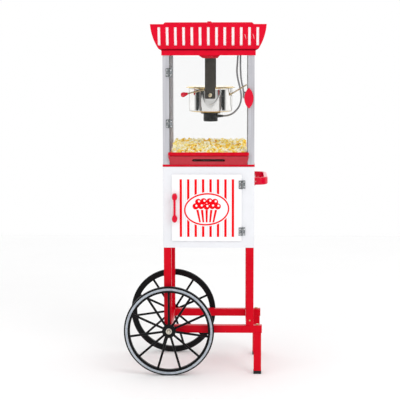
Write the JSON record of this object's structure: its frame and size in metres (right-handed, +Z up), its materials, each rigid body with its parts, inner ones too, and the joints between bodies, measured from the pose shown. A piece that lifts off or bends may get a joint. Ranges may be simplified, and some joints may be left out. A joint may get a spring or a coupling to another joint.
{
  "type": "popcorn maker cart",
  "caption": "Popcorn maker on a two-wheeled cart: glazed popper with a tilting kettle under a slotted canopy, above a white cabinet with a striped door.",
  "frame": {"origin": "on the floor, at the centre of the whole object's footprint box", "axes": "+Z up; the doors face -Y; the push handle is at +X and the wheels at -X"},
  "size_m": [0.486, 0.382, 1.19],
  "materials": {
    "red_paint": "gloss",
    "white_paint": "gloss",
    "rubber": "matt",
    "brass": "plated",
    "bright_steel": "polished",
    "tyre": "satin",
    "pale_band": "satin",
    "black_paint": "satin",
    "black_plastic": "satin",
    "red_plastic": "gloss",
    "red_vinyl": "gloss",
    "white_plastic": "satin",
    "post_aluminium": "brushed",
    "clear_pane": "clear",
    "popcorn": "matt",
    "lamp_glass": "frosted",
    "dark_steel": "satin",
    "kettle_steel": "mirror",
    "lead_sheath": "woven"
  },
  "bodies": {
    "root": {"left_legs": "red_paint", "right_legs": "red_paint", "side_rails": "red_paint", "cross_tubes": "red_paint", "rest_legs": "red_paint", "rubber_feet": "rubber", "tube_caps": "red_paint", "frame_bolts": "brass", "axle": "bright_steel", "axle_nuts": "bright_steel", "cabinet_shell": "white_paint", "cabinet_floor": "white_paint", "magnetic_catch": "black_plastic", "cabinet_hinge_leaves": "bright_steel", "push_handle": "red_plastic", "push_handle_screws": "bright_steel", "popper_base": "red_paint", "corner_posts": "post_aluminium", "fixed_panes": "clear_pane", "post_hinge_leaves": "bright_steel", "popcorn_deck": "red_paint", "popcorn_heap": "popcorn", "canopy_shell": "red_plastic", "canopy_liner": "white_plastic", "switch_plate": "black_plastic", "mains_gland": "black_plastic", "ceiling_plate": "post_aluminium", "lamp": "lamp_glass", "yoke_mount": "red_plastic", "kettle_yoke": "dark_steel", "kettle_lead": "lead_sheath", "second_lead": "lead_sheath", "lead_grommet": "rubber"},
    "front_wheel": {"front_wheel_tyre": "tyre", "front_wheel_band": "pale_band", "front_wheel_rim": "black_paint", "front_wheel_spider": "black_paint"},
    "rear_wheel": {"rear_wheel_tyre": "tyre", "rear_wheel_band": "pale_band", "rear_wheel_rim": "black_paint", "rear_wheel_spider": "black_paint"},
    "cabinet_door": {"cabinet_door": "white_paint", "door_transfer": "red_vinyl", "door_handle": "red_plastic", "door_hinge_leaves": "bright_steel"},
    "clear_door": {"front_pane": "clear_pane", "pane_hinge_leaves": "bright_steel", "pane_handle": "red_plastic"},
    "drawer": {"kernel_drawer": "red_paint"},
    "kettle": {"kettle": "kettle_steel", "lid_bar": "kettle_steel", "heater_housing": "black_plastic", "strain_relief": "rubber", "kettle_rods": "bright_steel", "dump_knob": "red_plastic"},
    "left_lid": {"left_lid": "kettle_steel"},
    "right_lid": {"right_lid": "kettle_steel"},
    "stirrer": {"stirrer": "kettle_steel"},
    "kettle_rocker": {"kettle_rocker": "red_plastic"},
    "light_rocker": {"light_rocker": "red_plastic"}
  },
  "joints": [
    {"name": "front_wheel_spin", "type": "hinge", "parent": "root", "child": "front_wheel", "pos_m": [-0.0912, 0, 0.1524], "axis": [0, 1, 0], "continuous": true},
    {"name": "rear_wheel_spin", "type": "hinge", "parent": "root", "child": "rear_wheel", "pos_m": [-0.0912, 0, 0.1524], "axis": [0, 1, 0], "continuous": true},
    {"name": "cabinet_door_swing", "type": "hinge", "parent": "root", "child": "cabinet_door", "pos_m": [0.1544, -0.1614, 0.56975], "axis": [0, 0, 1], "range_deg": [0, 170]},
    {"name": "clear_door_swing", "type": "hinge", "parent": "root", "child": "clear_door", "pos_m": [-0.0882, -0.1591, 0.916], "axis": [0, 0, -1], "range_deg": [0, 170]},
    {"name": "drawer_slide", "type": "slide", "parent": "root", "child": "drawer", "axis": [0, -1, 0], "range_m": [0, 0.22]},
    {"name": "kettle_tilt", "type": "hinge", "parent": "root", "child": "kettle", "pos_m": [0.0468, 0, 0.943], "axis": [0, -1, 0], "range_deg": [0, 55], "deforming": ["kettle_lead"]},
    {"name": "left_lid_flip", "type": "hinge", "parent": "kettle", "child": "left_lid", "pos_m": [0.0408, 0, 0.969], "axis": [0, 1, 0], "range_deg": [0, 80]},
    {"name": "right_lid_flip", "type": "hinge", "parent": "kettle", "child": "right_lid", "pos_m": [0.0528, 0, 0.969], "axis": [0, -1, 0], "range_deg": [0, 80]},
    {"name": "stirrer_spin", "type": "hinge", "parent": "kettle", "child": "stirrer", "pos_m": [0.0468, 0, 0.88], "axis": [0, 0, 1], "continuous": true},
    {"name": "kettle_rocker_tip", "type": "hinge", "parent": "root", "child": "kettle_rocker", "pos_m": [0.0108, 0.176, 1.139], "axis": [1, 0, 0], "range_deg": [0, 16]},
    {"name": "light_rocker_tip", "type": "hinge", "parent": "root", "child": "light_rocker", "pos_m": [0.0368, 0.176, 1.139], "axis": [1, 0, 0], "range_deg": [0, 16]}
  ]
}
